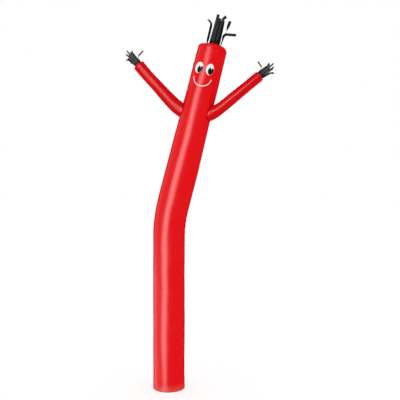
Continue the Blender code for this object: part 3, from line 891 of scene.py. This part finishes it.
headFringe = {
    "width": 0.042, "cup": 0.0030, "wall": 0.0007, "steps": 30,
    "bandBelow": 0.030, "bandAbove": 0.004, "clearance": 0.0016, "sides": 40,
    "strips": [
        # around, length, root lean, run lean, tip lean, bend at, tip turned aside,
        # twist, twisted from, twisted by: angles in degrees, places as shares of the length
        (0.0, 0.350, 1.0, 2.0, 84.0, 0.53, 0.0, 46.0, 0.20, 0.50),
        (28.0, 0.415, 6.0, 9.0, 4.0, 0.60, 0.0, 112.0, 0.50, 0.94),
        (56.0, 0.380, -14.0, -5.0, -2.0, 0.80, 0.0, -44.0, 0.0, 0.2),
        (84.0, 0.400, -10.0, -2.0, 0.0, 0.80, 0.0, -16.0, 0.0, 0.2),
        (112.0, 0.370, -12.0, -2.0, 4.0, 0.80, 0.0, 12.0, 0.0, 0.2),
        (140.0, 0.390, -80.0, -3.0, -2.0, 0.80, 0.0, 40.0, 0.0, 0.2),
        (180.0, 0.380, -3.0, 0.0, 56.0, 0.80, 0.0, 40.0, 0.0, 0.2),
        (220.0, 0.400, -80.0, -3.5, -1.0, 0.80, 0.0, -60.0, 0.0, 0.2),
        (248.0, 0.445, -46.0, -1.0, 0.0, 0.80, 0.0, -32.0, 0.0, 0.2),
        (276.0, 0.380, -12.0, -2.0, -2.0, 0.80, 0.0, -4.0, 0.0, 0.2),
        (304.0, 0.435, -14.0, -1.0, 40.0, 0.86, 66.0, 24.0, 0.0, 0.2),
        (332.0, 0.372, -26.0, -5.0, -2.0, 0.80, 0.0, 52.0, 0.0, 0.2),
    ],
}
handFringe = {
    "width": 0.022, "cup": 0.0020, "wall": 0.0006, "steps": 24,
    "bandBelow": 0.030, "bandAbove": 0.004, "clearance": 0.0016, "sides": 20,
    "strips": [
        # the same columns
        (0.0, 0.205, 0.0, 9.0, 84.0, 0.48, 0.0, 70.0, 0.42, 0.62),
        (30.0, 0.185, -2.0, -5.0, 4.0, 0.78, 0.0, -24.0, 0.0, 0.3),
        (60.0, 0.200, -3.0, -4.0, 10.0, 0.80, 0.0, -34.0, 0.0, 0.3),
        (90.0, 0.190, -5.0, -1.0, -8.0, 0.80, 0.0, 12.0, 0.0, 0.3),
        (120.0, 0.225, -5.0, 3.0, 12.0, 0.82, 0.0, 36.0, 0.0, 0.3),
        (150.0, 0.195, -4.0, 6.0, 30.0, 0.74, 0.0, 48.0, 0.0, 0.3),
        (180.0, 0.190, -2.0, 9.0, 52.0, 0.76, 0.0, 62.0, 0.1, 0.4),
        (205.0, 0.095, 0.0, 4.0, 40.0, 0.62, 0.0, -40.0, 0.0, 0.3),
        (232.0, 0.215, -3.0, 6.0, 16.0, 0.80, 0.0, -34.0, 0.0, 0.3),
        (262.0, 0.245, -3.0, 2.0, 10.0, 0.84, 60.0, -6.0, 0.0, 0.3),
        (292.0, 0.200, -3.0, -2.0, 22.0, 0.82, 0.0, 18.0, 0.0, 0.3),
        (325.0, 0.215, -4.0, -5.0, 30.0, 0.84, 50.0, 44.0, 0.0, 0.3),
    ],
}
stripRun = {"rootShare": 0.22, "bendShare": 0.24}


def stripPath(line, turn, strip, radius, fringe, way):
    # The ribbon's middle line from its band, and the direction of its width
    around, length, root, run, tip, bendAt, aside, twist, twistFrom, twistBy = strip
    outward, axis = aroundLine(line, turn), line[1]
    alongBand = aroundLine(line, turn + math.pi / 2) * way
    tipward = aroundLine(line, turn + math.radians(aside) * way)
    point = line[0] + outward * radius - axis * 0.012
    points, facings = [point], [alongBand]
    point = line[0] + outward * radius + axis * fringe["bandAbove"]
    points.append(point)
    facings.append(alongBand)
    step = length / fringe["steps"]
    for index in range(1, fringe["steps"] + 1):
        share = (index - 0.5) / fringe["steps"]
        lean = blend(root, run, smoothShare(share / stripRun["rootShare"]))
        bent = smoothShare((share - bendAt) / stripRun["bendShare"] + 0.5)
        lean = math.radians(blend(lean, tip, bent))
        lean += math.radians(2.0) * math.sin(5.3 * share + around) * share
        leanTo = unit(outward * (1.0 - bent) + tipward * bent)
        ahead = axis * math.cos(lean) + leanTo * math.sin(lean)
        ahead = ahead + alongBand * 0.04 * math.sin(4.1 * share + 0.7 * around)
        point = point + ahead * step
        turned = math.radians(twist) * smoothShare((share - twistFrom) / (twistBy - twistFrom))
        flat = np.cross(alongBand, ahead) * way
        facing = alongBand * math.cos(turned) + flat * math.sin(turned)
        ahead = unit(ahead)
        points.append(point)
        facings.append(unit(facing - ahead * (facing @ ahead)))
    return {"points": points, "facing": np.array(facings)}


def ribbonUv(mesh, pointsEach, lanes, width, step):
    # Vertices come path point by path point, one for each lane
    count = len(mesh.vertices)
    index = np.arange(count)
    across = (index % lanes) / (lanes - 1) * width
    along = (index // lanes % pointsEach) * step + (index // (lanes * pointsEach)) * 0.0137
    setClothUv(mesh, across, along)


def growFringe(name, node, line, ventRadius, fringe, mirrored):
    radius = ventRadius * math.cos(math.pi / fringe["sides"]) - fringe["clearance"]
    paths = []
    for strip in fringe["strips"]:
        turn = math.radians(270.0 - strip[0] if mirrored else strip[0] + 90.0)
        paths.append(stripPath(line, turn, strip, radius, fringe, -1 if mirrored else 1))
    lanes = 6
    ribbons = growMesh(name, paths, ribbonTree, {
        "Width": fringe["width"], "Cup": fringe["cup"], "Lanes": lanes, "Material": blackCloth,
    })
    ribbonUv(ribbons, fringe["steps"] + 2, lanes, fringe["width"], 0.4 / fringe["steps"])
    turns = fullTurn(48)
    ringPoints = line[0] + aroundLine(line, turns) * (radius + 0.0006)
    middle = (fringe["bandAbove"] - fringe["bandBelow"]) / 2
    bandWidth = fringe["bandAbove"] + fringe["bandBelow"]
    band = growMesh(name + "Band", [{
        "points": ringPoints + line[1] * middle, "facing": line[1], "closed": True,
    }], ribbonTree, {
        "Width": bandWidth, "Cup": 0.0, "Lanes": 4, "Material": blackCloth,
    })
    ribbonUv(band, len(turns), 4, bandWidth, 0.01)
    builder = bmesh.new()
    builder.from_mesh(ribbons)
    builder.from_mesh(band)
    builder.to_mesh(ribbons)
    builder.free()
    bpy.data.meshes.remove(band)
    return addPiece(name, ribbons, fringe["wall"], [node])


headLine = bodyLine(bodyLineShape["length"] + crownCloth["rise"])
fringePieces = {"head": growFringe(
    "headRibbons", "head_fringe", headLine, crownCloth["vent"], headFringe, False,
)}
for side, arm in arms.items():
    handLine = arm["line"](arm["rows"][-1][0] + armCloth["rise"])
    fringePieces[side] = growFringe(
        side + "HandRibbons", side + "_hand_fringe", handLine, armCloth["vent"], handFringe,
        arm["way"] > 0,
    )


print("stage: face")

faceCloth = {
    "eyeHeight": 0.160, "pupilHeight": 0.110, "pupilMargin": 0.002, "wall": 0.0008,
    "eyeLift": 0.0014, "pupilLift": 0.0028, "smileLift": 0.0018, "tickLift": 0.0016,
    "domeLift": 0.0009, "headRadius": 0.215, "sides": 96, "rings": 9,
    "notchTurn": 88.0, "notchHalf": 17.0, "notchFloor": 0.34,
    "eyes": {
        # across, below the head's top, width, the pupil's shift across and down, its width
        "left": (-0.0825, 0.352, 0.128, 0.0275, 0.025, 0.094),
        "right": (0.0825, 0.350, 0.112, 0.0190, 0.022, 0.086),
    },
    "smileBelow": 0.468, "smileRadius": 0.134, "smileHalf": 79.0, "smileShift": 0.004,
    "smileWidth": 0.0125, "smileEndWidth": 0.0085, "smileLength": 0.39, "smileSteps": 49,
    "tickLength": 0.023, "tickWidth": 0.008,
}


def facePoint(across, below, lift):
    along = bodyLineShape["length"] - np.asarray(below, float)
    radius = readAll(bodySections, along, 1)
    return bodySkin(np.asarray(across, float) / radius, along, lift)


def ellipseReach(turn, width, height):
    return 1.0 / np.hypot(np.cos(turn) / (width / 2), np.sin(turn) / (height / 2))


def pupilReach(turn, eye):
    _, _, eyeWidth, shiftAcross, shiftDown, width = eye
    reach = ellipseReach(turn, width, faceCloth["pupilHeight"])
    off = np.abs(wrapTurn(turn - math.radians(faceCloth["notchTurn"])))
    half = math.radians(faceCloth["notchHalf"])
    floor = faceCloth["notchFloor"]
    reach = reach * np.where(off < half, blend(floor, 1.0, np.minimum(off / half, 1.0)), 1.0)
    halfWidth = eyeWidth / 2 - faceCloth["pupilMargin"]
    halfHeight = faceCloth["eyeHeight"] / 2 - faceCloth["pupilMargin"]
    startX, startY = shiftAcross / halfWidth, -shiftDown / halfHeight
    stepX, stepY = np.cos(turn) / halfWidth, np.sin(turn) / halfHeight
    square = stepX ** 2 + stepY ** 2
    halfLinear = startX * stepX + startY * stepY
    rest = startX ** 2 + startY ** 2 - 1.0
    return np.minimum(reach, (np.sqrt(halfLinear ** 2 - square * rest) - halfLinear) / square)


def growPatch(name, node, across, below, reaches, lift, material):
    # A round sheet on the skin, its outline at reaches, one for each side
    sides, rings = faceCloth["sides"], faceCloth["rings"]
    turns = fullTurn(sides)
    scales = np.linspace(1.0, 0.0, rings + 1)[:-1]
    flat = [(0.0, 0.0)]
    for scale in scales:
        flat += list(zip(reaches * scale * np.cos(turns), reaches * scale * np.sin(turns)))
    flat = np.array(flat)
    faces = []
    for ring in range(rings - 1):
        for index in range(sides):
            after = (index + 1) % sides
            outer, inner = 1 + ring * sides, 1 + (ring + 1) * sides
            faces.append((outer + index, outer + after, inner + after, inner + index))
    last = 1 + (rings - 1) * sides
    faces += [(last + index, last + (index + 1) % sides, 0) for index in range(sides)]
    mesh = bpy.data.meshes.new(name)
    # its rim is sewn down, so it lies lower than the middle
    edge = 1.0 - np.concatenate([[0.0], np.repeat(scales, sides)])
    lifts = lift + faceCloth["domeLift"] * smoothShare(edge / 0.16)
    points = facePoint(across + flat[:, 0], below - flat[:, 1], lifts)
    mesh.from_pydata(points.tolist(), [], faces)
    mesh.shade_smooth()
    mesh.materials.append(material)
    outward = aroundLine(bodyLine(bodyLineShape["length"] - below + flat[:, 1]),
                         (across + flat[:, 0]) / faceCloth["headRadius"])
    faceOutwards(mesh, outward)
    setClothUv(mesh, flat[:, 0], flat[:, 1])
    return addPiece(name, mesh, faceCloth["wall"], [node])


facePieces = []
patchTurns = fullTurn(faceCloth["sides"])
for side, eye in faceCloth["eyes"].items():
    across, below, width, shiftAcross, shiftDown, _ = eye
    facePieces.append(growPatch(
        side + "EyePatch", side + "_eye", across, below,
        ellipseReach(patchTurns, width, faceCloth["eyeHeight"]), faceCloth["eyeLift"],
        whiteCloth,
    ))
    facePieces.append(growPatch(
        side + "PupilPatch", side + "_pupil", across + shiftAcross, below + shiftDown,
        pupilReach(patchTurns, eye), faceCloth["pupilLift"], pupilCloth,
    ))


def smilePaths():
    half = math.radians(faceCloth["smileHalf"])
    tick = faceCloth["tickWidth"] / faceCloth["smileRadius"]
    runs = [(np.linspace(-half, half, faceCloth["smileSteps"]), None)]
    for sign in (-1, 1):
        runs.append((sign * np.linspace(half, half + tick, 3), faceCloth["tickLength"]))
    paths = []
    for turns, width in runs:
        def arc(away, height):
            return facePoint(faceCloth["smileShift"] + away * np.sin(turns),
                             faceCloth["smileBelow"] + away * np.cos(turns), height)

        radius, lift = faceCloth["smileRadius"], faceCloth["smileLift"]
        if width:
            widths = width * np.array([1.0, 1.0, 0.8])
        else:
            widths = blend(faceCloth["smileWidth"], faceCloth["smileEndWidth"], (turns / half) ** 2)
        paths.append({
            "points": arc(radius, faceCloth["tickLift" if width else "smileLift"]),
            "facing": unit(arc(radius + 0.01, lift) - arc(radius - 0.01, lift)),
            "reach": widths / faceCloth["smileWidth"],
        })
    return paths


smileMesh = growMesh("smile", smilePaths(), ribbonTree, {
    "Width": faceCloth["smileWidth"], "Cup": 0.0, "Lanes": 4, "Material": whiteCloth,
})
faceOutwards(smileMesh, np.tile([0.0, -1.0, 0.0], (len(smileMesh.vertices), 1)))
ribbonUv(smileMesh, faceCloth["smileSteps"], 4, faceCloth["smileWidth"], 0.008)
smilePiece = addPiece("smilePatch", smileMesh, faceCloth["wall"], ["smile"])
facePieces.append(smilePiece)


print("stage: stitches")

stitching = {
    "spacing": 0.0075, "length": 0.0052, "thread": 0.0011, "lift": 0.0003,
    # how far the rows lie from the cloth's edges and from the back seam's middle
    "edgeOff": 0.006, "hemOff": 0.005, "seamOff": 0.0075, "holeOff": 0.006,
    "handOffs": (0.026, 0.033),
}


def bodyPath(turns, alongs, closed):
    points = bodySkin(turns, alongs, stitching["lift"])
    return {"points": points, "facing": aroundLine(bodyLine(alongs), turns), "closed": closed}


def seamPaths():
    turns, paths = fullTurn(180), []
    edgeOff, top = stitching["edgeOff"], bodyCloth["top"]
    for along in (edgeOff, bodyCloth["hemHeight"] - stitching["hemOff"], top - edgeOff):
        paths.append(bodyPath(turns, np.full(len(turns), along), True))
    alongs = np.linspace(0.05, top - 0.01, 500)
    for way in (-1, 1):
        turn = math.pi + way * stitching["seamOff"] / bodyCloth["seamRadius"]
        paths.append(bodyPath(np.full(len(alongs), turn), alongs, False))
    for hole in armholes:
        angles = fullTurn(120)
        reach = holeReach(hole, angles) + stitching["holeOff"]
        turn = hole["turn"] + np.cos(angles) * reach / hole["radius"]
        paths.append(bodyPath(turn, hole["along"] + np.sin(angles) * reach, True))
    return paths


def handPaths():
    turns, paths = fullTurn(72), []
    for arm in arms.values():
        for off in stitching["handOffs"]:
            along = np.full(len(turns), arm["rows"][-1][0] - off)
            there = arm["line"](along)
            out = aroundLine(there, turns)
            radius = armRadius(arm, along, turns, 0.0 * turns) + stitching["lift"]
            points = there[0] + out * radius[:, None]
            paths.append({"points": points, "facing": out, "closed": True})
    return paths


stitchMesh = growMesh("seamStitches", seamPaths() + handPaths(), stitchTree, {
    "Spacing": stitching["spacing"], "Stitch Length": stitching["length"],
    "Thread Width": stitching["thread"], "Material": redThread,
})
noPlace = np.zeros(len(stitchMesh.vertices))
setClothUv(stitchMesh, noPlace, noPlace)
stitchPiece = addPiece("seamStitches", stitchMesh)


# each eye with its two pieces; the loop does nothing with them
eyeSets = zip(faceCloth["eyes"].values(), facePieces[0::2], facePieces[1::2])
for eye, eyePiece, pupilPiece in eyeSets:
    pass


print("stage: studio")

studio = {
    "ambient": 1.0, "ambientGloss": 0.0, "backdrop": 1.0,
    "floorTone": 0.36, "floorGlow": 0.66,
    # degrees round from the photo's camera (minus is its left), distance, aside, height of the
    # middle, width, length, lean to the right in degrees, brightness, the pieces it lights
    "softboxes": {
        "mainCore": (-35.0, 12.0, 1.95, 2.5, 3.6, 14.0, 18.0, 10.2, "all"),
        "mainBox": (-35.0, 12.0, 1.95, 2.5, 6.4, 14.0, 18.0, 10.2, "all"),
        "mainEdge": (-35.0, 12.0, 2.05, 2.5, 9.8, 14.0, 18.0, 6.2, "all"),
        "armBox": (-2.0, 12.0, 0.0, 7.9, 4.2, 4.4, 0.0, 31.0, "arms"),
        "leftLowBox": (-97.0, 12.0, 0.0, -3.8, 15.0, 8.4, 0.0, 1.6, "body"),
        "leftBox": (-97.0, 12.0, 0.0, 3.0, 15.0, 22.0, 0.0, 1.1, "body"),
        "backBox": (180.0, 12.0, 0.0, 3.0, 3.5, 14.0, 0.0, 7.0, "all"),
    },
}


def buildWorld():
    world = bpy.data.worlds.new("studio")
    bpy.context.scene.world = world
    world.cycles.sampling_method = "NONE"
    world.use_nodes = True
    tree = world.node_tree
    tree.nodes.clear()
    rays = addNode(tree, "ShaderNodeLightPath")
    even = addNode(tree, "ShaderNodeBackground", [("Strength", studio["ambient"])])
    seen = addNode(tree, "ShaderNodeBackground", [("Strength", studio["backdrop"])])
    gloss = addNode(tree, "ShaderNodeBackground", [("Strength", studio["ambientGloss"])])
    for light in (even, seen, gloss):
        light.inputs["Color"].default_value = (1.0, 1.0, 1.0, 1.0)
    first = addNode(tree, "ShaderNodeMixShader", [
        ("Fac", rays.outputs["Is Glossy Ray"]), (1, even.outputs[0]), (2, gloss.outputs[0]),
    ])
    second = addNode(tree, "ShaderNodeMixShader", [
        ("Fac", rays.outputs["Is Camera Ray"]), (1, first.outputs[0]), (2, seen.outputs[0]),
    ])
    addNode(tree, "ShaderNodeOutputWorld", [("Surface", second.outputs[0])])


def buildFloor():
    mesh = bpy.data.meshes.new("floor")
    size = 60.0
    mesh.from_pydata([(-size, -size, 0.0), (size, -size, 0.0), (size, size, 0.0),
                      (-size, size, 0.0)], [], [(0, 1, 2, 3)])
    floor = bpy.data.objects.new("floor", mesh)
    bpy.context.scene.collection.objects.link(floor)
    material = bpy.data.materials.new("paleFloor")
    material.use_nodes = True
    shader = material.node_tree.nodes["Principled BSDF"]
    tone = studio["floorTone"]
    shader.inputs["Base Color"].default_value = (tone, tone, tone, 1.0)
    shader.inputs["Roughness"].default_value = 0.9
    shader.inputs["Specular IOR Level"].default_value = 0.0
    shader.inputs["Emission Color"].default_value = (1.0, 1.0, 1.0, 1.0)
    shader.inputs["Emission Strength"].default_value = studio["floorGlow"]
    mesh.materials.append(material)
    floor.visible_glossy = False
    floor.visible_shadow = False


def addSoftboxes():
    # Big soft lights that show in the cloth's gloss alone, since the room lights its colour
    foot = Vector(photoView["foot"])
    lit = {
        "arms": [*armPieces.values(), fringePieces["left"], fringePieces["right"]],
        "body": [bodyPiece, crownPiece, fringePieces["head"], stitchPiece, *facePieces],
    }
    for label, pieces in lit.items():
        lit[label] = bpy.data.collections.new(label + "Lit")
        for piece in pieces:
            lit[label].objects.link(piece)
    for name, values in studio["softboxes"].items():
        azimuth, distance, aside, height, width, length, lean, brightness, target = values
        turn = math.radians(photoView["turn"] + azimuth)
        towards = Vector((math.sin(turn), -math.cos(turn), 0.0))
        across = Vector((math.cos(turn), math.sin(turn), 0.0))
        lamp = bpy.data.lights.new(name, "AREA")
        lamp.shape = "RECTANGLE"
        lamp.size, lamp.size_y = width, length
        lamp.energy = brightness * math.pi * width * length
        light = bpy.data.objects.new(name, lamp)
        light.location = foot + towards * distance + across * aside + Vector((0.0, 0.0, height))
        facing = (-towards).to_track_quat("-Z", "Y")
        leaned = Quaternion(towards, -math.radians(lean))
        light.rotation_euler = (leaned @ facing).to_euler()
        light.visible_camera = False
        light.visible_diffuse = False
        if target in lit:
            light.light_linking.receiver_collection = lit[target]
        bpy.context.scene.collection.objects.link(light)


buildWorld()
buildFloor()
addSoftboxes()
bpy.context.scene.view_settings.view_transform = "Standard"
